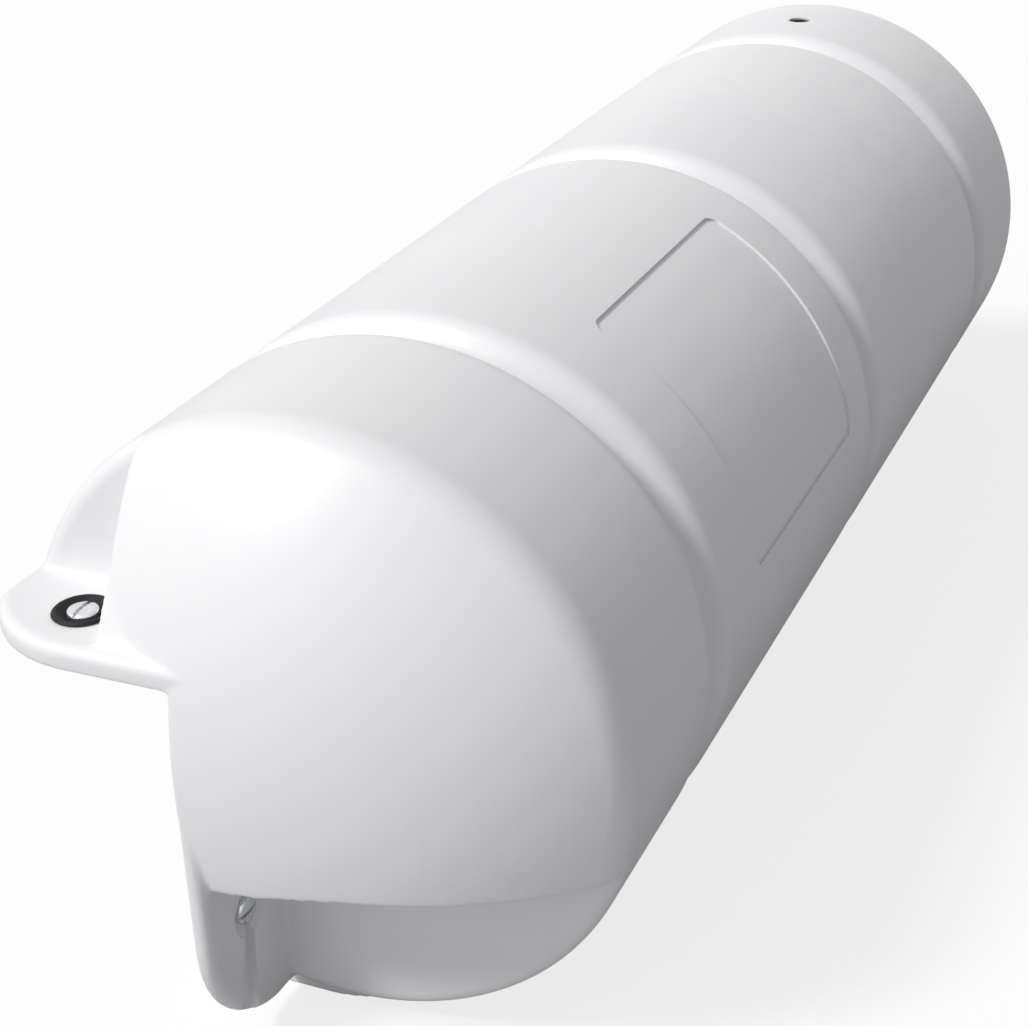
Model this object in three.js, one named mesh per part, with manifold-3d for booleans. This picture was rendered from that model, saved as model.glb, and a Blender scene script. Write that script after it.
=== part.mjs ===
// Three-quarter round dock fender, millimetres, +Z up, fender length along Y, dock on the -X side.
// A moulded barrel with domed ends is notched along its length to sit on the edge of a dock:
// one flat seat lies on the deck, the other against the dock's side. At each end two pockets leave
// a flange over each seat, with a recess for a fixing screw.
// The origin is the middle of the deck seat. The body is drawn about its own centre line.
import * as THREE from 'three';
import { mergeVertices } from 'three/addons/utils/BufferGeometryUtils.js';
import Module from 'manifold-3d';

const wasm = await Module();
wasm.setup();

// Barrel and domed ends
const barrelDiameter = 250;
const barrelLength = 655;
const crownRadius = 175;
const knuckleRadius = 19;

// Rope grooves round the barrel
const grooveCount = 3;
const groovePitch = 239;
const grooveWidth = 30;
const grooveDepth = 9;
const grooveShoulderRadius = 10;

// Notch for the dock's edge, as distances of its two seats from the barrel's centre line
const deckSeatAboveAxis = 37.5;
const sideSeatBesideAxis = 28.5;
const heelDrop = 5.5;
const heelToeRadius = 8;

// End pockets and the flanges that they leave
const pocketEndSetback = 4.5;
const pocketRimRadius = 6;
const pocketCornerRadius = 3;
const deckFlangeThickness = 9.5;
const sideFlangeThickness = 6.5;
const deckPocketBesideAxis = 61;
const sidePocketBelowAxis = 35.3;
const ceilingBendBesideAxis = 45;
const ceilingBendRadius = 180;
const deckFlangeReach = 49.2;
const sideFlangeReach = 53.2;
const flangeCornerRadius = 53;
const sideFlangeBelowAxis = 12;
const blendHeight = 31;
const blendFall = 18.6;
const blendFootSetback = 6;
const blendFootBelowFloor = 2.5;

// Fixing points
const recessDiameter = 22;
const recessFromWall = 24;
const deckRecessBesideAxis = 79;
const sideRecessBelowAxis = 71;
const recessWeb = 3.2;
const sideRecessFloorDiameter = 14;
const drainInnerEdge = 2;
const drainOuterEdge = 3.5;
const drainInnerFlare = -0.062;
const drainOuterFlare = 0.225;
const drainDepth = 4;
const screwHeadDiameter = 12.4;
const screwHeadHeight = 3.4;
const screwRimHeight = 1.2;
const screwShankDiameter = 5.5;
const shankClearance = 0.5;
const slotWidth = 1.6;
const slotDepth = 1.7;
const slotBearing = 40;
const washerDiameter = 23.4;
const washerThickness = 4.6;
const washerRise = 1.5;
const washerChamfer = 0.8;
const washerRimWidth = 1.2;
const seatGap = 0.3;

// Label recess and filler plug
const labelLength = 144;
const labelShift = 3.5;
const labelWidth = 119;
const labelDepth = 1.2;
const labelCornerRadius = 6;
const labelBearing = THREE.MathUtils.degToRad(36);
const plugDiameter = 12;
const plugFromMiddle = 287;
const plugSocketDepth = 11;
const plugSink = 1;
const plugRimWidth = 1.5;
const plugDishSlope = 1;
const plugClearance = 0.3;

// Facets
const barrelSides = 72;
const grooveSteps = 3;
const crownSteps = 6;
const knuckleSteps = 3;
const rimSteps = 3;
const headSteps = 4;
const ceilingSteps = 6;
const endRoundSteps = 6;
const screwSides = 20;
const recessSides = 28;
const cutMargin = 20;

const barrelRadius = barrelDiameter / 2;
const wallY = barrelLength / 2 + pocketEndSetback;
const deckFlangeEndY = wallY + deckFlangeReach;
const sideFlangeEndY = wallY + sideFlangeReach;
const clearOfEnds = Math.max(deckFlangeEndY, sideFlangeEndY) + cutMargin;
const recessY = wallY + recessFromWall;
const deckFloor = deckSeatAboveAxis + deckFlangeThickness;
const sideFloor = -sideSeatBesideAxis + sideFlangeThickness;
const blendFootY = deckFlangeEndY - blendFootSetback;
const blendFootZ = deckFloor - blendFootBelowFloor;
const deckSeatOuter = Math.sqrt(barrelRadius ** 2 - deckSeatAboveAxis ** 2);
const deckSeatMiddle = (deckSeatOuter + sideSeatBesideAxis) / 2;
const beyond = barrelRadius + heelDrop + cutMargin;

// A closed solid from a three.js geometry: shared corners merged, collapsed faces dropped.
function solidFrom(geometry) {
  geometry.deleteAttribute('normal');
  geometry.deleteAttribute('uv');
  const merged = mergeVertices(geometry);
  const corners = merged.index.array;
  const faces = [];
  for (let i = 0; i < corners.length; i += 3) {
    const [a, b, c] = corners.subarray(i, i + 3);
    if (a !== b && b !== c && c !== a) faces.push(a, b, c);
  }
  return new wasm.Manifold(new wasm.Mesh({
    numProp: 3,
    vertProperties: new Float32Array(merged.attributes.position.array),
    triVerts: new Uint32Array(faces),
  }));
}

// A turned solid about Y, from [radius, y] points listed from the -Y end to the +Y end.
function turned(profile, sides) {
  const points = profile.map(([radius, y]) => new THREE.Vector2(radius, y));
  return solidFrom(new THREE.LatheGeometry(points, sides));
}

// A box between two opposite corners.
function block(low, high) {
  const size = high.map((value, i) => value - low[i]);
  const geometry = new THREE.BoxGeometry(...size);
  geometry.translate(...low.map((value, i) => value + size[i] / 2));
  return solidFrom(geometry);
}

// A bar along Y, from an outline in X and Z.
function barAlongY(outline, fromY, toY) {
  const shape = new THREE.Shape(outline.map(([x, z]) => new THREE.Vector2(x, z)));
  const geometry = new THREE.ExtrudeGeometry(shape, { depth: toY - fromY, bevelEnabled: false });
  geometry.rotateX(Math.PI / 2);
  geometry.translate(0, toY, 0);
  return solidFrom(geometry);
}

// A bar along X, from an outline in Y and Z.
function barAlongX(outline, fromX, toX) {
  const shape = new THREE.Shape(outline.map(([y, z]) => new THREE.Vector2(y, z)));
  const geometry = new THREE.ExtrudeGeometry(shape, { depth: toX - fromX, bevelEnabled: false });
  geometry.rotateX(Math.PI / 2);
  geometry.rotateZ(Math.PI / 2);
  geometry.translate(fromX, 0, 0);
  return solidFrom(geometry);
}

// A bar along Z, from an outline in X and Y.
function barAlongZ(outline, fromZ, toZ) {
  const shape = new THREE.Shape(outline.map(([x, y]) => new THREE.Vector2(x, y)));
  const geometry = new THREE.ExtrudeGeometry(shape, { depth: toZ - fromZ, bevelEnabled: false });
  geometry.translate(0, 0, fromZ);
  return solidFrom(geometry);
}

// Points of an arc, as [first, second] coordinates round a centre, from one angle to another.
function arc(centre, radius, from, to, steps) {
  return Array.from({ length: steps + 1 }, (unused, i) => {
    const angle = from + (to - from) * (i / steps);
    return [centre[0] + radius * Math.cos(angle), centre[1] + radius * Math.sin(angle)];
  });
}

// The +Y half of a turned profile, completed by its mirror image at the -Y end.
function bothEnds(halfProfile) {
  return [...halfProfile.map(([radius, y]) => [radius, -y]).reverse(), ...halfProfile];
}

// The solid and its mirror image at the other end of the fender.
function pairOfEnds(solid) {
  return solid.add(solid.mirror([0, 1, 0]));
}

// Domed barrel: a shallow crown runs into the barrel through a tight knuckle.
function domedBarrel() {
  const tangentY = barrelLength / 2;
  const knuckleCentre = [barrelRadius - knuckleRadius, tangentY];
  const turn = Math.asin(knuckleCentre[0] / (crownRadius - knuckleRadius));
  const crownCentre = [0, tangentY - (crownRadius - knuckleRadius) * Math.cos(turn)];
  const knuckle = arc(knuckleCentre, knuckleRadius, 0, Math.PI / 2 - turn, knuckleSteps);
  const crown = arc(crownCentre, crownRadius, Math.PI / 2 - turn, Math.PI / 2, crownSteps);
  crown[crownSteps][0] = 0;
  return turned(bothEnds([...knuckle, ...crown.slice(1)]), barrelSides);
}

// Barrel with flat ends and a rounded rim: its ends are the back walls of the pockets.
function walledBarrel() {
  const rimCentre = [barrelRadius - pocketRimRadius, wallY - pocketRimRadius];
  const rim = arc(rimCentre, pocketRimRadius, 0, Math.PI / 2, rimSteps);
  return turned(bothEnds([...rim, [0, wallY]]), barrelSides);
}

// Rounded ends of a pair of flanges: flat across the end, with a large corner radius.
function flangeEnds(endY) {
  const cornerCentre = [barrelRadius - flangeCornerRadius, endY - flangeCornerRadius];
  const corner = arc(cornerCentre, flangeCornerRadius, 0, Math.PI / 2, endRoundSteps);
  return turned(bothEnds([...corner, [0, endY]]), barrelSides);
}

// Heel under the side seat: flat below, running out on to the barrel at a tangent.
function heel() {
  const bottom = barrelRadius + heelDrop;
  const tangent = Math.acos(barrelRadius / bottom) - Math.PI / 2;
  const touch = [barrelRadius * Math.cos(tangent), barrelRadius * Math.sin(tangent)];
  const slope = (touch[1] + bottom) / touch[0];
  const outline = [
    [-sideSeatBesideAxis, -bottom],
    [-heelToeRadius, -bottom],
    [heelToeRadius, heelToeRadius * slope - bottom],
    touch,
    [touch[0], touch[1] + cutMargin],
    [-sideSeatBesideAxis, touch[1] + cutMargin],
  ];
  return barAlongY(outline, -wallY, wallY);
}

// Rope groove: convex shoulders and a concave bed that meet on a common tangent.
function grooveCutter(centreY) {
  const flank = 2 * Math.atan((2 * grooveDepth) / grooveWidth);
  const bedRadius = grooveWidth / 2 / Math.sin(flank) - grooveShoulderRadius;
  const shoulderAxis = barrelRadius - grooveShoulderRadius;
  const near = arc([shoulderAxis, -grooveWidth / 2], grooveShoulderRadius, 0, flank, grooveSteps);
  const bedCentre = [barrelRadius - grooveDepth + bedRadius, 0];
  const bed = arc(bedCentre, bedRadius, Math.PI + flank, Math.PI, grooveSteps);
  const half = [...near, ...bed.slice(1)];
  const whole = [...half, ...half.slice(0, -1).map(([radius, y]) => [radius, -y]).reverse()];
  const ring = [[beyond, -grooveWidth / 2], ...whole, [beyond, grooveWidth / 2]];
  ring.push(ring[0]);
  return turned(ring.map(([radius, y]) => [radius, y + centreY]).reverse(), barrelSides);
}

// Concave fillet between a pocket's floor and its end wall, as an outline in Y and floor height.
function cornerFillet(floor, outward) {
  const centre = [wallY + pocketCornerRadius, floor + outward * pocketCornerRadius];
  const curve = arc(centre, pocketCornerRadius, Math.PI, Math.PI * (1 + outward / 2), rimSteps);
  const corner = [wallY - pocketCornerRadius, floor - outward * pocketCornerRadius];
  return [...curve, [centre[0], corner[1]], corner, [corner[0], centre[1]]];
}

// Flange on the deck: a slab of the rounded end, blended up into the dome beside its pocket.
function deckFlanges() {
  const slabLow = [-beyond, -clearOfEnds, deckSeatAboveAxis - cutMargin];
  const slabHigh = [-sideSeatBesideAxis, clearOfEnds, deckFloor];
  const blendOutline = [
    [wallY, deckSeatAboveAxis],
    [blendFootY, deckSeatAboveAxis],
    [blendFootY, blendFootZ],
    [blendFootY - blendFall, blendFootZ + blendHeight],
    [wallY, blendFootZ + blendHeight],
  ];
  const blendOuter = -deckPocketBesideAxis;
  const blend = pairOfEnds(barAlongX(blendOutline, blendOuter, -sideSeatBesideAxis + cutMargin));
  const fillet = barAlongX(cornerFillet(deckFloor, 1), -beyond, -deckPocketBesideAxis);
  const slab = block(slabLow, slabHigh).add(blend).add(pairOfEnds(fillet));
  return flangeEnds(deckFlangeEndY).intersect(slab);
}

// Flange down the dock's side: a slab that leaves the dome below the fender's centre line.
function sideFlanges() {
  const slabLow = [-sideSeatBesideAxis - cutMargin, -clearOfEnds, -beyond];
  const slabHigh = [sideFloor, clearOfEnds, -sideFlangeBelowAxis];
  const outline = cornerFillet(sideFloor, 1).map(([y, x]) => [x, y]);
  const fillet = barAlongZ(outline, -beyond, -sidePocketBelowAxis);
  return flangeEnds(sideFlangeEndY).intersect(block(slabLow, slabHigh).add(pairOfEnds(fillet)));
}

// Space of the four end pockets, above the deck flanges and beside the side flanges.
// The ceiling of a side pocket bends down towards its flange.
function pockets() {
  const rimY = wallY - pocketRimRadius;
  const deckLow = [-beyond, rimY, deckFloor];
  const deckHigh = [-deckPocketBesideAxis, clearOfEnds, beyond];
  const bendCentre = [ceilingBendBesideAxis, -sidePocketBelowAxis - ceilingBendRadius];
  const up = Math.PI / 2;
  const bend = Math.asin((ceilingBendBesideAxis - sideFloor) / ceilingBendRadius);
  const ceiling = arc(bendCentre, ceilingBendRadius, up, up + bend, ceilingSteps);
  const outline = [[beyond, -sidePocketBelowAxis], ...ceiling, [sideFloor, -beyond], [beyond, -beyond]];
  const side = barAlongY(outline, rimY, clearOfEnds);
  return pairOfEnds(block(deckLow, deckHigh).add(side)).subtract(walledBarrel());
}

// Recess in a flange for a screw head, with the shank's hole through the web below it.
// It is turned about Y with the seat at y = 0, then laid over its own fixing point.
function fixingRecess(thickness, floorDiameter, clearAbove) {
  const shankHole = screwShankDiameter / 2 + shankClearance;
  const mouth = recessDiameter / 2;
  return turned([
    [0, -cutMargin],
    [shankHole, -cutMargin],
    [shankHole, recessWeb],
    [floorDiameter / 2, recessWeb],
    [mouth, thickness],
    [mouth, thickness + clearAbove],
    [0, thickness + clearAbove],
  ], recessSides);
}

// The four fixing points: where each screw passes its seat, and the way that it points.
const deckFixing = { x: -deckRecessBesideAxis, z: deckSeatAboveAxis, turn: [Math.PI / 2, 0, 0] };
const sideFixing = { x: -sideSeatBesideAxis, z: -sideRecessBelowAxis, turn: [0, 0, -Math.PI / 2] };
const endSigns = { near: -1, far: 1 };

// A solid turned about Y, laid over a fixing point with its +Y along the screw's way out.
function atFixing(solid, fixing, endSign) {
  const [aboutX, aboutY, aboutZ] = fixing.turn.map(THREE.MathUtils.radToDeg);
  return solid.rotate([aboutX, aboutY, aboutZ]).translate([fixing.x, endSign * recessY, fixing.z]);
}

// Fixing recesses and, in the side flanges, a flared groove that drains the recess.
function fixingCuts() {
  const deckRecess = fixingRecess(deckFlangeThickness, recessDiameter, cutMargin);
  const sideRecess = fixingRecess(sideFlangeThickness, sideRecessFloorDiameter, cutMargin);
  const fall = beyond - sideRecessBelowAxis;
  const drain = barAlongX([
    [recessY - drainInnerEdge, -sideRecessBelowAxis],
    [recessY + drainOuterEdge, -sideRecessBelowAxis],
    [recessY + drainOuterEdge + fall * drainOuterFlare, -beyond],
    [recessY - drainInnerEdge - fall * drainInnerFlare, -beyond],
  ], sideFloor - drainDepth, sideFloor + cutMargin);
  const far = endSigns.far;
  return pairOfEnds(atFixing(deckRecess, deckFixing, far)
    .add(atFixing(sideRecess, sideFixing, far))
    .add(drain));
}

// Shallow label recess, curved with the barrel, on the land between the first two grooves.
function labelRecess() {
  const half = [labelWidth / 2 - labelCornerRadius, labelLength / 2 - labelCornerRadius];
  const quarter = Math.PI / 2;
  const outline = [[1, 1], [-1, 1], [-1, -1], [1, -1]].flatMap(([alongX, alongY], i) => {
    const centre = [alongX * half[0], alongY * half[1]];
    return arc(centre, labelCornerRadius, i * quarter, (i + 1) * quarter, rimSteps);
  });
  const reach = barrelRadius + cutMargin;
  const prism = barAlongZ(outline, 0, reach)
    .rotate([0, 90 - THREE.MathUtils.radToDeg(labelBearing), 0])
    .translate([0, labelShift - groovePitch / 2, 0]);
  const floorRadius = barrelRadius - labelDepth;
  const core = [[0, -groovePitch], [floorRadius, -groovePitch], [floorRadius, 0], [0, 0]];
  return prism.subtract(turned(core, barrelSides));
}

// Round socket in the top of the barrel for the filler plug.
function plugSocket() {
  const radius = plugDiameter / 2 + plugClearance;
  const floor = barrelRadius - plugSocketDepth;
  return turned([[0, floor], [radius, floor], [radius, beyond], [0, beyond]], recessSides)
    .rotate([90, 0, 0])
    .translate([0, plugFromMiddle, 0]);
}

// The moulded body: barrel, domes, flanges and heel, less the notch and every recess.
function fenderBody() {
  const notchLow = [-beyond, -clearOfEnds, -beyond];
  const notchHigh = [-sideSeatBesideAxis, clearOfEnds, deckSeatAboveAxis];
  let body = domedBarrel().subtract(pockets())
    .add(heel())
    .add(deckFlanges())
    .add(sideFlanges())
    .subtract(block(notchLow, notchHigh));
  for (let i = 0; i < grooveCount; i += 1) {
    body = body.subtract(grooveCutter((i - (grooveCount - 1) / 2) * groovePitch));
  }
  return body.subtract(fixingCuts()).subtract(labelRecess()).subtract(plugSocket());
}

// Slotted pan-head screw, turned about Y with its seat at the dock's face and its head outwards.
function fixingScrew(headSeat) {
  const head = screwHeadDiameter / 2;
  const shank = screwShankDiameter / 2;
  const rim = headSeat + screwRimHeight;
  const rise = screwHeadHeight - screwRimHeight;
  const quarter = arc([0, 0], 1, 0, Math.PI / 2, headSteps);
  const crown = quarter.map(([across, up]) => [across * head, rim + up * rise]);
  crown[headSteps][0] = 0;
  const profile = [[0, seatGap], [shank, seatGap], [shank, headSeat], [head, headSeat], ...crown];
  const top = headSeat + screwHeadHeight;
  const slotLow = [-screwHeadDiameter, top - slotDepth, -slotWidth / 2];
  const slot = block(slotLow, [screwHeadDiameter, top + slotDepth, slotWidth / 2]);
  return turned(profile, screwSides).subtract(slot.rotate([0, slotBearing, 0]));
}

// Sealing washer of a deck screw: it fills the recess, its lip lies on the flange, and its dished
// top holds the screw's head.
function sealingWasher() {
  const foot = recessWeb + seatGap;
  const seat = foot + washerThickness;
  const lip = deckFlangeThickness + seatGap;
  const top = deckFlangeThickness + washerRise;
  const bore = screwShankDiameter / 2 + seatGap;
  const body = recessDiameter / 2 - seatGap;
  const rim = washerDiameter / 2;
  const dish = screwHeadDiameter / 2 + seatGap;
  const shoulder = rim - washerChamfer;
  return turned([
    [bore, foot],
    [body, foot],
    [body, lip],
    [rim, lip],
    [rim, top - washerChamfer],
    [shoulder, top],
    [shoulder - washerRimWidth, top],
    [dish, seat],
    [bore, seat],
    [bore, foot],
  ], recessSides);
}

// Filler plug: a stopper sunk a little below the barrel's skin, with a dished face.
function fillerPlug() {
  const radius = plugDiameter / 2;
  const top = barrelRadius - plugSink;
  const floor = barrelRadius - plugSocketDepth + plugClearance;
  const dish = top - plugRimWidth;
  const inner = radius - plugRimWidth;
  const rim = [[radius, floor], [radius, top], [inner, top], [inner - plugDishSlope, dish]];
  const profile = [[0, floor], ...rim, [0, dish]];
  return turned(profile, recessSides).rotate([90, 0, 0]).translate([0, plugFromMiddle, 0]);
}

const fenderPlastic = new THREE.MeshStandardMaterial({ color: 0xe9eaee, roughness: 0.42, metalness: 0 });
const zincSteel = new THREE.MeshStandardMaterial({ color: 0xc4c6c9, roughness: 0.28, metalness: 1 });
const blackRubber = new THREE.MeshStandardMaterial({ color: 0x161718, roughness: 0.7, metalness: 0 });

// A named mesh from a finished solid.
function piece(name, solid, material) {
  const { numProp, vertProperties, triVerts } = solid.getMesh();
  const geometry = new THREE.BufferGeometry();
  geometry.setAttribute('position', new THREE.BufferAttribute(vertProperties, numProp));
  geometry.setIndex(new THREE.BufferAttribute(triVerts, 1));
  geometry.computeVertexNormals();
  const mesh = new THREE.Mesh(geometry, material);
  mesh.name = name;
  return mesh;
}

const fender = new THREE.Group();
fender.position.set(deckSeatMiddle, 0, -deckSeatAboveAxis);
fender.add(piece('fender_body', fenderBody(), fenderPlastic));

const deckHeadSeat = recessWeb + washerThickness + 2 * seatGap;
const sideHeadSeat = recessWeb + seatGap;
for (const [end, sign] of Object.entries(endSigns)) {
  const deckScrew = atFixing(fixingScrew(deckHeadSeat), deckFixing, sign);
  const sideScrew = atFixing(fixingScrew(sideHeadSeat), sideFixing, sign);
  const washer = atFixing(sealingWasher(), deckFixing, sign);
  fender.add(piece(`deck_screw_${end}`, deckScrew, zincSteel));
  fender.add(piece(`deck_washer_${end}`, washer, blackRubber));
  fender.add(piece(`side_screw_${end}`, sideScrew, zincSteel));
}
fender.add(piece('filler_plug', fillerPlug(), blackRubber));

const part = new THREE.Group();
part.add(fender);
export default part;
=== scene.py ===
from math import asin, atan2, cos, pi, radians, sin, sqrt, tan

import bmesh
import bpy
from mathutils import Matrix, Vector


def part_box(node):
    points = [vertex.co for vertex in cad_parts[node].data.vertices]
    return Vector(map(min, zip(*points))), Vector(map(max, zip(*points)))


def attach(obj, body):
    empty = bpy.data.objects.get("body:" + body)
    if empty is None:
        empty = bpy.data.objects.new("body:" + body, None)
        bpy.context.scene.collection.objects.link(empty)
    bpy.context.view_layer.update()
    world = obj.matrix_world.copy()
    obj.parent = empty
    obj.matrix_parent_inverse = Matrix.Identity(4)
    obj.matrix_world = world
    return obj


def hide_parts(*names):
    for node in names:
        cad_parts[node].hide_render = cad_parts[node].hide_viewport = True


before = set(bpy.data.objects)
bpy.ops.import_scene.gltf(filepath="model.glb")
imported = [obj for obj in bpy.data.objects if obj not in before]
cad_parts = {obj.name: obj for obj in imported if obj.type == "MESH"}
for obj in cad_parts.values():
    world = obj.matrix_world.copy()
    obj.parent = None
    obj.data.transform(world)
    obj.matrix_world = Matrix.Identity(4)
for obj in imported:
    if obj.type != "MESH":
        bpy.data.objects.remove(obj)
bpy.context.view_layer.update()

# Fender body: a barrel of cool white plastic with domed ends, notched along its length for the
# edge of the dock. It is moulded as one hollow shell, so every wall runs out through a small radius.
# Two flanges at each end carry the fixing screws, one on the deck and one down the dock's side.
barrel_radius = 0.125
barrel_half_length = 0.3275
crown_radius = 0.175
knuckle_radius = 0.019
groove_spacing = 0.239
groove_half_width = 0.015
groove_depth = 0.009
groove_shoulder_radius = 0.010
deck_seat_height = 0.0375
side_seat_across = -0.0285
heel_drop = 0.0055
heel_toe_round = 0.008
heel_toe_rise = 0.00064
heel_run_rise = 0.0024
heel_sink = 0.0002
pocket_wall = 0.332
pocket_rim_radius = 0.006
deck_flange_thickness = 0.0095
side_flange_thickness = 0.0065
deck_floor = deck_seat_height + deck_flange_thickness
side_floor = side_seat_across + side_flange_thickness
deck_pocket_inner = -0.061
side_pocket_roof = -0.0353
roof_bend_across = 0.045
roof_bend_radius = 0.180
roof_inner_end = -0.0454
roof_steps = 10
deck_flange_end = 0.3812
side_flange_end = 0.3852
flange_corner_radius = 0.053
corner_steps = 20
side_flange_top = -0.012
blend_rise = 0.031
blend_fall = 0.0212
blend_foot_along = 0.3778
blend_foot_sink = 0.0025
blend_low_rise = 0.0037
blend_fillet = 0.014
blend_fillet_sweep = radians(25)
blend_fillet_steps = 5
fixing_along = 0.356
deck_fixing_across = -0.079
side_fixing_height = -0.071
fixing_web = 0.0032
recess_radius = 0.011
side_recess_floor_radius = 0.007
shank_hole_radius = 0.00325
drain_inner_edge = 0.002
drain_outer_edge = 0.0035
drain_inner_flare = -0.062
drain_outer_flare = 0.225
drain_depth = 0.004
label_half_length = 0.072
label_half_width = 0.0595
label_offset = 0.0035
label_along = label_offset - groove_spacing / 2
label_depth = 0.0012
label_corner_radius = 0.006
label_bearing = radians(36)
plug_along = 0.287
plug_socket_radius = 0.0063
plug_socket_depth = 0.011
# Turned shapes start a little off the axes, so that flat cuts meet them between two steps. Cutters reach
# well past the fender, and parts that join overlap by a hair.
turning_steps = 180
first_step = radians(-1.54)
skin_overlap = 0.00005
clear = 0.02
outside = barrel_radius + heel_drop + clear
past_end = outside * 4
body_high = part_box("fender_body")[1]
body_axis = Vector((body_high.x - barrel_radius, 0, body_high.z - barrel_radius))


def extend(profile, point, x, y):
    """Draws a straight line of a profile from its last point and returns the new last point."""
    end = bmesh.ops.extrude_vert_indiv(profile, verts=[point])["verts"][0]
    end.co = (x, y, 0)
    return end


def round_off(profile, point, centre, sweep, steps):
    """Draws an arc of a profile round a centre and returns the new last point."""
    swept = bmesh.ops.spin(
        profile, geom=[point], cent=(*centre, 0), axis=(0, 0, 1), angle=sweep, steps=steps
    )
    return next(end for end in swept["geom_last"] if isinstance(end, bmesh.types.BMVert))


def turn(profile, steps=turning_steps):
    """Turns a profile drawn in X and Y into a closed solid about the Y axis."""
    bmesh.ops.rotate(profile, verts=profile.verts, matrix=Matrix.Rotation(first_step, 3, "Y"))
    bmesh.ops.spin(
        profile, geom=profile.verts[:] + profile.edges[:], cent=(0, 0, 0), axis=(0, 1, 0),
        angle=2 * pi, steps=steps, use_merge=True,
    )
    bmesh.ops.remove_doubles(profile, verts=profile.verts, dist=1e-6)
    bmesh.ops.recalc_face_normals(profile, faces=profile.faces)


def block(low, high):
    """Makes a box between two corners."""
    low, high = Vector(low), Vector(high)
    shape = bmesh.new()
    bmesh.ops.create_cube(shape, size=1)
    bmesh.ops.scale(shape, verts=shape.verts, vec=high - low)
    bmesh.ops.translate(shape, verts=shape.verts, vec=(low + high) / 2)
    return shape


def bar(outline, push):
    """Makes a bar from a flat outline of corners, pushed out along a vector."""
    shape = bmesh.new()
    face = shape.faces.new([shape.verts.new(corner) for corner in outline])
    pushed = bmesh.ops.extrude_face_region(shape, geom=[face])["geom"]
    moved = [part for part in pushed if isinstance(part, bmesh.types.BMVert)]
    bmesh.ops.translate(shape, verts=moved, vec=push)
    bmesh.ops.recalc_face_normals(shape, faces=shape.faces)
    return shape


def pair(shape):
    """Adds the mirror image of a shape at the other end of the fender."""
    bmesh.ops.mirror(shape, geom=shape.verts[:] + shape.edges[:] + shape.faces[:], axis="Y", merge_dist=0)
    bmesh.ops.recalc_face_normals(shape, faces=shape.faces)


def solid(name, shape):
    """Puts a finished shape into an object."""
    mesh = bpy.data.meshes.new(name)
    shape.to_mesh(mesh)
    shape.free()
    piece = bpy.data.objects.new(name, mesh)
    bpy.context.scene.collection.objects.link(piece)
    return piece


def work(piece, operation, tool):
    """Joins a tool's solid to the piece, cuts the piece with it, or keeps what they share."""
    tool = solid("tool", tool) if isinstance(tool, bmesh.types.BMesh) else tool
    step = piece.modifiers.new("step", "BOOLEAN")
    step.operation, step.solver, step.object = operation, "EXACT", tool
    worked = piece.evaluated_get(bpy.context.evaluated_depsgraph_get())
    mesh = bpy.data.meshes.new_from_object(worked)
    piece.modifiers.clear()
    piece.data = mesh
    bpy.data.objects.remove(tool)


def soften(piece, cell, passes, share):
    """Rounds every edge of a piece as moulding does: an even skin, smoothed, then thinned."""
    skin = piece.modifiers.new("skin", "REMESH")
    skin.mode, skin.voxel_size = "VOXEL", cell
    smooth = piece.modifiers.new("smooth", "SMOOTH")
    smooth.factor, smooth.iterations = 0.5, passes
    thin = piece.modifiers.new("thin", "DECIMATE")
    thin.ratio = share
    softened = piece.evaluated_get(bpy.context.evaluated_depsgraph_get())
    mesh = bpy.data.meshes.new_from_object(softened)
    piece.modifiers.clear()
    piece.data = mesh


# The barrel is turned as one half, from the top of its dome to the middle of the fender.
knuckle_across = barrel_radius - knuckle_radius
knuckle_reach = crown_radius - knuckle_radius
crown_turn = asin(knuckle_across / knuckle_reach)
crown_middle = barrel_half_length - knuckle_reach * cos(crown_turn)
flank = 2 * asin(groove_depth / sqrt(groove_depth**2 + groove_half_width**2))
bed_radius = groove_half_width / sin(flank) - groove_shoulder_radius
bed_across = barrel_radius - groove_depth + bed_radius
shoulder_across = barrel_radius - groove_shoulder_radius
barrel = bmesh.new()
last = barrel.verts.new((0, crown_middle + crown_radius, 0))
last = round_off(barrel, last, (0, crown_middle), -crown_turn, steps=20)
last = round_off(barrel, last, (knuckle_across, barrel_half_length), crown_turn - pi / 2, steps=8)
for middle in (groove_spacing, 0):
    last = extend(barrel, last, barrel_radius, middle + groove_half_width)
    last = round_off(barrel, last, (shoulder_across, middle + groove_half_width), -flank, steps=5)
    last = round_off(barrel, last, (bed_across, middle), 2 * flank, steps=8)
    last = round_off(barrel, last, (shoulder_across, middle - groove_half_width), -flank, steps=5)
last = extend(barrel, last, barrel_radius, -clear)
extend(barrel, last, 0, -clear)
turn(barrel)
body = solid("moulded_body", barrel)


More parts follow.
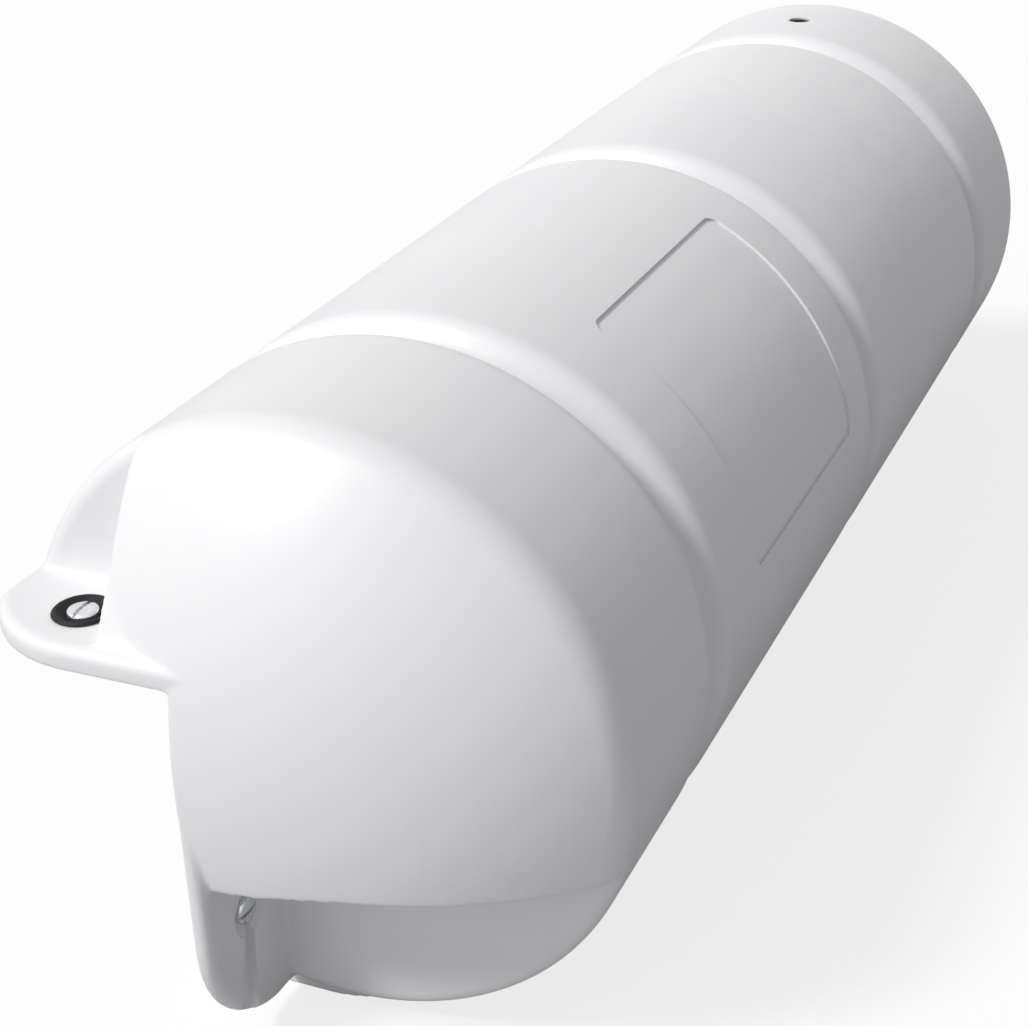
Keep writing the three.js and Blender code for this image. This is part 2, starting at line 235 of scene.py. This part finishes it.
def flange(name, end, seat, floor_level, nose, inner, lay_down):
    """Makes a flange with a rounded nose, drawn flat across the fender and then laid in its place."""
    corner_across = barrel_radius - flange_corner_radius
    corner_along = end - flange_corner_radius
    back = pocket_wall - clear
    outline = [(inner, back), (inner, end)]
    for bearing in [pi / 2 / corner_steps * step for step in range(corner_steps + 1)]:
        across = corner_across + flange_corner_radius * sin(bearing)
        outline.append((across, corner_along + flange_corner_radius * cos(bearing)))
    outline.append((barrel_radius, back))
    slab = bar([(x, y, seat - clear) for x, y in outline], (0, 0, floor_level - seat + clear))
    front = [
        edge for edge in slab.edges
        if all(tip.co.z > seat and tip.co.y > back + clear / 2 for tip in edge.verts)
    ]
    bmesh.ops.bevel(
        slab, geom=front, affect="EDGES", offset=nose, segments=5, profile=0.5, material=-1,
        clamp_overlap=False,
    )
    piece = solid(name, slab)
    piece.data.transform(lay_down)
    if lay_down.determinant() < 0:
        piece.data.flip_normals()
    trim = bmesh.new()
    skin = barrel_radius - skin_overlap
    last = trim.verts.new((0, end + clear, 0))
    last = extend(trim, last, skin, end + clear)
    last = extend(trim, last, skin, back - clear)
    extend(trim, last, 0, back - clear)
    turn(trim)
    work(piece, "INTERSECT", trim)
    return piece


# Deck flange, with the blend that runs from the dome down on to its nose.
blend_inner = 0.0085
deck_nose = 0.0045
deck_flange = flange(
    "deck_flange", deck_flange_end, deck_seat_height, deck_floor + skin_overlap, deck_nose, blend_inner,
    Matrix.Scale(-1, 4, (1, 0, 0)),
)
blend_slope = atan2(blend_rise, blend_fall)
blend_top = deck_floor + blend_rise
blend_low = deck_floor + blend_low_rise
blend_low_along = blend_foot_along - (blend_low - deck_floor + blend_foot_sink) / tan(blend_slope)
fillet_reach = Vector((sin(blend_slope), cos(blend_slope))) * blend_fillet
fillet_middle = Vector((blend_low_along, blend_low)) + fillet_reach
fillet_step = blend_fillet_sweep / blend_fillet_steps
fillet_line = [
    fillet_middle - Vector((sin(bearing), cos(bearing))) * blend_fillet
    for bearing in [blend_slope - fillet_step * step for step in range(blend_fillet_steps + 1)]
]
blend_back = pocket_wall - clear / 2
blend_bottom = deck_seat_height - clear / 2
blend = bar([
    (deck_pocket_inner, blend_back, blend_bottom),
    (deck_pocket_inner, fillet_line[-1].x, blend_bottom),
    *[(deck_pocket_inner, point.x, point.y) for point in reversed(fillet_line)],
    (deck_pocket_inner, blend_foot_along - blend_fall, blend_top),
    (deck_pocket_inner, blend_back, blend_top),
], (-blend_inner - clear / 10 - deck_pocket_inner, 0, 0))
work(deck_flange, "UNION", blend)
work(body, "UNION", deck_flange)

# Side flange, which leaves the dome below the fender's middle line.
side_nose = 0.004
side_flange = flange(
    "side_flange", side_flange_end, side_seat_across, side_floor + skin_overlap, side_nose, -side_flange_top,
    Matrix.Rotation(pi / 2, 4, "Y"),
)
ramp_height = -0.060
ramp_foot = Vector((-0.003, 0.3790))
ramp = bar([
    (side_floor - clear / 4, pocket_wall, ramp_height),
    (side_floor - clear / 4, side_flange_end - side_nose, ramp_height),
    (side_floor, side_flange_end - side_nose, ramp_height),
    (ramp_foot.x, ramp_foot.y, ramp_height),
    (ramp_foot.x, pocket_wall, ramp_height),
], (0, 0, side_flange_top - clear / 10 - ramp_height))
work(side_flange, "UNION", ramp)
work(body, "UNION", side_flange)

# Heel under the side seat, flat below and running out on to the barrel.
heel_bottom = -barrel_radius - heel_drop
heel_run_out = radians(-69)
heel_touch = Vector((cos(heel_run_out), sin(heel_run_out))) * (barrel_radius - heel_sink)
for start, end in (
    (groove_half_width, groove_spacing - groove_half_width),
    (groove_spacing + groove_half_width, pocket_wall - pocket_rim_radius),
):
    land_start = start + skin_overlap
    heel = bar([
        (side_seat_across - clear, land_start, heel_bottom),
        (-heel_toe_round, land_start, heel_bottom),
        (0, land_start, heel_bottom + heel_toe_rise),
        (heel_toe_round, land_start, heel_bottom + heel_run_rise),
        (heel_touch.x, land_start, heel_touch.y),
        (heel_touch.x, land_start, heel_touch.y + clear),
        (side_seat_across - clear, land_start, heel_touch.y + clear),
    ], (0, end - skin_overlap - land_start, 0))
    work(body, "UNION", heel)

# Pockets round the flanges. The back wall keeps the barrel's rounded rim.
rim = bmesh.new()
rim_across = barrel_radius - pocket_rim_radius
rim_along = pocket_wall - pocket_rim_radius - skin_overlap
last = rim.verts.new((0, pocket_wall, 0))
last = extend(rim, last, rim_across, pocket_wall)
last = round_off(rim, last, (rim_across, rim_along), -pi / 2, steps=4)
last = extend(rim, last, last.co.x, rim_along - clear)
extend(rim, last, 0, rim_along - clear)
turn(rim)
pockets = solid("pockets", block((-outside, rim_along, deck_floor), (deck_pocket_inner, past_end, outside)))
roof_centre = Vector((roof_bend_across, side_pocket_roof - roof_bend_radius))
roof_turn = asin(roof_bend_across / roof_bend_radius)
roof = [
    roof_centre + Vector((-sin(bearing), cos(bearing))) * roof_bend_radius
    for bearing in [roof_turn / roof_steps * step for step in range(roof_steps + 1)]
]
side_pocket = [
    Vector((outside, side_pocket_roof)), *roof, Vector((side_floor, roof_inner_end)),
    Vector((side_floor, -outside)), Vector((outside, -outside)),
]
work(pockets, "UNION", bar([(p.x, rim_along, p.y) for p in side_pocket], (0, past_end, 0)))
work(pockets, "DIFFERENCE", rim)
work(body, "DIFFERENCE", pockets)

# The notch that the dock's edge fits into.
notch = block((-outside, -clear, -outside), (side_seat_across, past_end, deck_seat_height))
work(body, "DIFFERENCE", notch)
soften(body, cell=0.001, passes=5, share=0.11)

# The other half is the mirror image, joined on in the middle of the centre groove.
whole = bmesh.new()
whole.from_mesh(body.data)
bmesh.ops.bisect_plane(
    whole, geom=whole.verts[:] + whole.edges[:] + whole.faces[:], dist=1e-5,
    plane_co=(0, 0, 0), plane_no=(0, 1, 0), clear_inner=True,
)
bmesh.ops.mirror(whole, geom=whole.verts[:] + whole.edges[:] + whole.faces[:], axis="Y", merge_dist=2e-5)
bmesh.ops.recalc_face_normals(whole, faces=whole.faces)
whole.to_mesh(body.data)
whole.free()

# Screw recesses, and the groove that drains the side one.
for across, height, thickness, floor_radius, angle, axis in (
    (deck_fixing_across, deck_seat_height, deck_flange_thickness, recess_radius, pi / 2, "X"),
    (side_seat_across, side_fixing_height, side_flange_thickness, side_recess_floor_radius, -pi / 2, "Z"),
):
    recess = bmesh.new()
    last = recess.verts.new((0, -clear, 0))
    for x, y in (
        (shank_hole_radius, -clear), (shank_hole_radius, fixing_web), (floor_radius, fixing_web),
        (recess_radius, thickness), (recess_radius, thickness + clear), (0, thickness + clear),
    ):
        last = extend(recess, last, x, y)
    turn(recess, steps=64)
    bmesh.ops.rotate(recess, verts=recess.verts, matrix=Matrix.Rotation(angle, 3, axis))
    bmesh.ops.translate(recess, verts=recess.verts, vec=(across, fixing_along, height))
    pair(recess)
    work(body, "DIFFERENCE", recess)
drain_fall = side_fixing_height + outside
drain_top = side_floor - drain_depth
drain = bar([
    (drain_top, fixing_along - drain_inner_edge, side_fixing_height),
    (drain_top, fixing_along + drain_outer_edge, side_fixing_height),
    (drain_top, fixing_along + drain_outer_edge + drain_fall * drain_outer_flare, -outside),
    (drain_top, fixing_along - drain_inner_edge - drain_fall * drain_inner_flare, -outside),
], (clear, 0, 0))
pair(drain)
work(body, "DIFFERENCE", drain)

# Label recess, curved with the barrel, and the socket of the filler plug.
label_floor = bmesh.new()
last = label_floor.verts.new((0, -groove_spacing, 0))
last = extend(label_floor, last, barrel_radius - label_depth, -groove_spacing)
last = extend(label_floor, last, barrel_radius - label_depth, 0)
extend(label_floor, last, 0, 0)
turn(label_floor)
label = block((-label_half_width, -label_half_length, 0), (label_half_width, label_half_length, outside))
upright = [edge for edge in label.edges if abs(edge.verts[0].co.z - edge.verts[1].co.z) > clear]
bmesh.ops.bevel(
    label, geom=upright, affect="EDGES", offset=label_corner_radius, segments=6, profile=0.5, material=-1
)
bmesh.ops.rotate(label, verts=label.verts, matrix=Matrix.Rotation(pi / 2 - label_bearing, 3, "Y"))
bmesh.ops.translate(label, verts=label.verts, vec=(0, label_along, 0))
label = solid("label", label)
work(label, "DIFFERENCE", label_floor)
work(body, "DIFFERENCE", label)
socket = bmesh.new()
bmesh.ops.create_cone(
    socket, cap_ends=True, segments=64, radius1=plug_socket_radius, radius2=plug_socket_radius,
    depth=plug_socket_depth * 2,
)
bmesh.ops.translate(socket, verts=socket.verts, vec=(0, plug_along, barrel_radius))
work(body, "DIFFERENCE", socket)


def place(piece, crease=35):
    """Moves a finished piece from the fender's middle line to its place and shades it."""
    piece.data.transform(Matrix.Translation(body_axis))
    piece.data.shade_smooth()
    piece.data.set_sharp_from_angle(angle=radians(crease))


def finish(name, colour, roughness, metallic=0.0):
    """Starts a material whose pattern lies in the object's own coordinates."""
    material = bpy.data.materials.new(name)
    material.use_nodes = True
    nodes = material.node_tree.nodes
    surface = nodes["Principled BSDF"]
    surface.inputs["Base Color"].default_value = (*colour, 1)
    surface.inputs["Roughness"].default_value = roughness
    surface.inputs["Metallic"].default_value = metallic
    spot = nodes.new("ShaderNodeTexCoord")
    return material, surface, spot.outputs["Object"]


def grain(material, spot, scale, detail, low=0, high=1):
    """Adds a fine noise over the surface, as a number between two values."""
    nodes, links = material.node_tree.nodes, material.node_tree.links
    noise = nodes.new("ShaderNodeTexNoise")
    noise.inputs["Scale"].default_value = scale
    noise.inputs["Detail"].default_value = detail
    spread = nodes.new("ShaderNodeMapRange")
    spread.inputs["From Min"].default_value, spread.inputs["From Max"].default_value = 0.3, 0.7
    spread.inputs["To Min"].default_value, spread.inputs["To Max"].default_value = low, high
    links.new(spot, noise.inputs["Vector"])
    links.new(noise.outputs["Fac"], spread.inputs["Value"])
    return spread.outputs["Result"]


def tint(material, surface, amount, first, second):
    """Lets the colour drift between two shades."""
    nodes, links = material.node_tree.nodes, material.node_tree.links
    blend = nodes.new("ShaderNodeMix")
    blend.data_type = "RGBA"
    blend.inputs["A"].default_value, blend.inputs["B"].default_value = (*first, 1), (*second, 1)
    links.new(amount, blend.inputs["Factor"])
    links.new(blend.outputs["Result"], surface.inputs["Base Color"])


def relief(material, surface, heights):
    """Presses one or more noises into the surface, each with its depth in metres."""
    nodes, links = material.node_tree.nodes, material.node_tree.links
    below = None
    for height, depth in heights:
        bump = nodes.new("ShaderNodeBump")
        bump.inputs["Strength"].default_value = 1
        bump.inputs["Distance"].default_value = depth
        links.new(height, bump.inputs["Height"])
        if below:
            links.new(below, bump.inputs["Normal"])
        below = bump.outputs["Normal"]
    links.new(below, surface.inputs["Normal"])


# Satin moulded plastic: the mould's fine grain, a slow ripple of the wall and a slight drift in shade.
plastic, surface, spot = finish("moulded_plastic", (0.80, 0.80, 0.81), 0.42)
drift = grain(plastic, spot, scale=9, detail=3)
tint(plastic, surface, drift, (0.79, 0.79, 0.80), (0.815, 0.815, 0.82))
sheen = grain(plastic, spot, scale=55, detail=4, low=0.38, high=0.47)
plastic.node_tree.links.new(sheen, surface.inputs["Roughness"])
relief(plastic, surface, [
    (grain(plastic, spot, scale=22, detail=2), 0.00012),
    (grain(plastic, spot, scale=900, detail=3), 0.00002),
])
body.data.materials.clear()
body.data.materials.append(plastic)
place(body)
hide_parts("fender_body")
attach(body, "root")


# Sealing washers of the deck screws: black rubber rings, moulded, that fill their recess. A lip lies
# on the flange, and the dished top holds the screw's head.
def round_small(shape, width):
    """Takes the sharpness off the edges of a small turned or moulded piece."""
    sharp = [edge for edge in shape.edges if edge.calc_face_angle(0) > radians(28)]
    bmesh.ops.bevel(
        shape, geom=sharp, affect="EDGES", offset=width, segments=2, profile=0.5, material=-1,
        clamp_overlap=True,
    )


def lay(piece, across, along, height, angle, axis):
    """Lays a piece that was turned about Y over its own fixing point."""
    piece.data.transform(Matrix.Translation((across, along, height)) @ Matrix.Rotation(angle, 4, axis))


washer_gap = 0.0003
washer_foot = fixing_web + washer_gap
washer_web = 0.0046
washer_seat = washer_foot + washer_web
washer_radius = 0.0117
washer_lip = 0.0015
washer_lip_width = 0.0020
washer_lip_round = 0.0008
washer_dish_radius = 0.0065
washer_ledge = deck_flange_thickness + washer_gap
washer_top = deck_flange_thickness + washer_lip
washer_bore = 0.00305
rubber, surface, spot = finish("black_rubber", (0.012, 0.012, 0.013), 0.6)
surface.inputs["Specular IOR Level"].default_value = 0.22
drift = grain(rubber, spot, scale=160, detail=3)
tint(rubber, surface, drift, (0.010, 0.010, 0.011), (0.018, 0.018, 0.019))
sheen = grain(rubber, spot, scale=300, detail=3, low=0.48, high=0.68)
rubber.node_tree.links.new(sheen, surface.inputs["Roughness"])
relief(rubber, surface, [(grain(rubber, spot, scale=1500, detail=3), 0.00003)])
for end, along in (("near", -fixing_along), ("far", fixing_along)):
    ring = bmesh.new()
    start = ring.verts.new((washer_bore, washer_foot, 0))
    last = start
    for x, y in (
        (recess_radius - washer_gap, washer_foot),
        (recess_radius - washer_gap, washer_ledge),
        (washer_radius, washer_ledge),
        (washer_radius, washer_top - washer_lip_round),
        (washer_radius - washer_lip_round, washer_top),
        (washer_radius - washer_lip_width, washer_top),
        (washer_dish_radius, washer_seat),
        (washer_bore, washer_seat),
    ):
        last = extend(ring, last, x, y)
    ring.edges.new((last, start))
    turn(ring, steps=72)
    round_small(ring, width=0.00025)
    washer = solid("sealing_washer_" + end, ring)
    lay(washer, deck_fixing_across, along, deck_seat_height, pi / 2, "X")
    washer.data.materials.append(rubber)
    place(washer)
    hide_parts("deck_washer_" + end)
    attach(washer, "root")

# Fixing screws: slotted pan heads, turned from steel and zinc plated, one through each flange. The
# deck screws sit in their washers, the side screws on the floor of their recess.
head_radius = 0.0062
head_rim = 0.0012
head_height = 0.0034
head_shoulder = 0.0016
shank_radius = 0.00275
slot_half_width = 0.0008
slot_depth = 0.0017
deck_slot_bearing = radians(90)
side_slot_bearing = radians(3)
shoulder_in = head_radius - head_shoulder
crown_rise = head_height - head_rim - head_shoulder
head_crown = (shoulder_in**2 + crown_rise**2) / (2 * crown_rise)
zinc, surface, spot = finish("zinc_steel", (0.74, 0.75, 0.77), 0.26, 1.0)
drift = grain(zinc, spot, scale=260, detail=4)
tint(zinc, surface, drift, (0.71, 0.72, 0.74), (0.78, 0.79, 0.81))
sheen = grain(zinc, spot, scale=700, detail=4, low=0.24, high=0.32)
zinc.node_tree.links.new(sheen, surface.inputs["Roughness"])
relief(zinc, surface, [(grain(zinc, spot, scale=900, detail=2), 0.000004)])
for kind, across, height, head_seat, angle, axis, slot_bearing in (
    ("deck", deck_fixing_across, deck_seat_height, washer_seat + washer_gap, pi / 2, "X", deck_slot_bearing),
    ("side", side_seat_across, side_fixing_height, fixing_web + washer_gap, -pi / 2, "Z", side_slot_bearing),
):
    for end, along in (("near", -fixing_along), ("far", fixing_along)):
        blank = bmesh.new()
        last = blank.verts.new((0, washer_gap, 0))
        last = extend(blank, last, shank_radius, washer_gap)
        last = extend(blank, last, shank_radius, head_seat)
        last = extend(blank, last, head_radius, head_seat)
        last = extend(blank, last, head_radius, head_seat + head_rim)
        crown_start = asin(shoulder_in / head_crown)
        last = round_off(blank, last, (shoulder_in, head_seat + head_rim), pi / 2 - crown_start, steps=6)
        crown_low = head_seat + head_height - head_crown - head_shoulder
        round_off(blank, last, (0, crown_low), crown_start, steps=6)
        turn(blank, steps=64)
        screw = solid(kind + "_fixing_screw_" + end, blank)
        top = head_seat + head_height
        slot = block((-clear, top - slot_depth, -slot_half_width), (clear, top + clear, slot_half_width))
        bmesh.ops.rotate(slot, verts=slot.verts, matrix=Matrix.Rotation(slot_bearing, 3, "Y"))
        work(screw, "DIFFERENCE", slot)
        cut = bmesh.new()
        cut.from_mesh(screw.data)
        round_small(cut, width=0.00015)
        cut.to_mesh(screw.data)
        cut.free()
        lay(screw, across, along, height, angle, axis)
        screw.data.materials.clear()
        screw.data.materials.append(zinc)
        place(screw)
        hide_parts(f"{kind}_screw_{end}")
        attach(screw, "root")

# Filler plug: a black rubber stopper with a dished face, pushed into the hole through which the
# hollow moulding is filled.
plug_radius = 0.006
plug_sink = 0.001
plug_foot = barrel_radius - plug_socket_depth + washer_gap
plug_top = barrel_radius - plug_sink
plug_rim = 0.0015
plug_dish_slope = 0.001
stopper = bmesh.new()
last = stopper.verts.new((0, plug_foot, 0))
for x, y in (
    (plug_radius, plug_foot),
    (plug_radius, plug_top),
    (plug_radius - plug_rim, plug_top),
    (plug_radius - plug_rim - plug_dish_slope, plug_top - plug_rim),
    (0, plug_top - plug_rim),
):
    last = extend(stopper, last, x, y)
turn(stopper, steps=64)
round_small(stopper, width=0.0003)
plug = solid("filler_stopper", stopper)
lay(plug, 0, plug_along, 0, pi / 2, "X")
plug.data.materials.append(rubber)
place(plug)
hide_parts("filler_plug")
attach(plug, "root")

# Studio: a plain pale floor under the heel, a soft key lamp from above and to the left of the camera,
# a weaker fill lamp from the front and an even white surround. The long lens looks down on the
# notched end.
floor_shape = bmesh.new()
bmesh.ops.create_grid(floor_shape, x_segments=1, y_segments=1, size=20)
bmesh.ops.translate(floor_shape, verts=floor_shape.verts, vec=(0, 0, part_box("fender_body")[0].z))
floor = solid("floor", floor_shape)
pale = bpy.data.materials.new("pale_floor")
pale.use_nodes = True
nodes, links = pale.node_tree.nodes, pale.node_tree.links
nodes.remove(nodes["Principled BSDF"])
seen, glow, paint, dull = (nodes.new("ShaderNode" + kind) for kind in (
    "LightPath", "Emission", "BsdfDiffuse", "BsdfDiffuse"))
glow.inputs["Color"].default_value = (1, 1, 1, 1)
glow.inputs["Strength"].default_value = 1
paint.inputs["Color"].default_value = (0.95, 0.95, 0.95, 1)
dull.inputs["Color"].default_value = (0.42, 0.42, 0.43, 1)
lit, chosen = nodes.new("ShaderNodeMixShader"), nodes.new("ShaderNodeMixShader")
lit.inputs["Fac"].default_value = 0.78
links.new(paint.outputs[0], lit.inputs[1])
links.new(glow.outputs[0], lit.inputs[2])
links.new(seen.outputs["Is Camera Ray"], chosen.inputs["Fac"])
links.new(dull.outputs[0], chosen.inputs[1])
links.new(lit.outputs[0], chosen.inputs[2])
links.new(chosen.outputs[0], nodes["Material Output"].inputs["Surface"])
floor.data.materials.append(pale)


def sun(name, strength, spread, comes_from):
    """Adds a lamp that shines evenly from one direction."""
    lamp = bpy.data.lights.new(name, "SUN")
    lamp.energy = strength
    lamp.angle = spread
    holder = bpy.data.objects.new(name, lamp)
    bpy.context.scene.collection.objects.link(holder)
    holder.rotation_euler = comes_from.to_track_quat("Z", "Y").to_euler()


sun("key", strength=2.42, spread=radians(14), comes_from=Vector((-0.430, -0.50, 0.752)))
sun("fill", strength=0.5, spread=radians(50), comes_from=Vector((-0.38, -0.90, 0.20)))
surround = bpy.data.worlds.new("surround")
bpy.context.scene.world = surround
surround.use_nodes = True
nodes, links = surround.node_tree.nodes, surround.node_tree.links
soft = nodes["Background"]
soft.inputs["Color"].default_value = (0.97, 0.98, 1, 1)
soft.inputs["Strength"].default_value = 0.35
white = nodes.new("ShaderNodeBackground")
white.inputs["Strength"].default_value = 1
seen, either, both = (nodes.new("ShaderNode" + kind) for kind in ("LightPath", "Math", "Math"))
either.operation = both.operation = "MAXIMUM"
chosen = nodes.new("ShaderNodeMixShader")
white.inputs["Color"].default_value = (1, 1, 1, 1)
links.new(seen.outputs["Is Camera Ray"], either.inputs[0])
links.new(seen.outputs["Is Glossy Ray"], either.inputs[1])
links.new(either.outputs[0], both.inputs[0])
links.new(seen.outputs["Is Transmission Ray"], both.inputs[1])
links.new(both.outputs[0], chosen.inputs["Fac"])
links.new(soft.outputs[0], chosen.inputs[1])
links.new(white.outputs[0], chosen.inputs[2])
links.new(chosen.outputs[0], nodes["World Output"].inputs["Surface"])
camera = bpy.data.cameras.new("camera")
camera.sensor_width = 36
camera.lens = 70.05
camera_offset = Vector((0.32779, -0.87049, 0.39579))
heading, tilt, roll = radians(24.439), radians(26.365), radians(-2.231)
view = Vector((-sin(heading) * cos(tilt), cos(heading) * cos(tilt), -sin(tilt)))
stand = bpy.data.objects.new("camera", camera)
bpy.context.scene.collection.objects.link(stand)
stand.location = body_axis + camera_offset
turned_view = view.to_track_quat("-Z", "Y").to_matrix() @ Matrix.Rotation(roll, 3, "Z")
stand.rotation_euler = turned_view.to_euler()
bpy.context.scene.camera = stand
bpy.context.scene.view_settings.view_transform = "Standard"
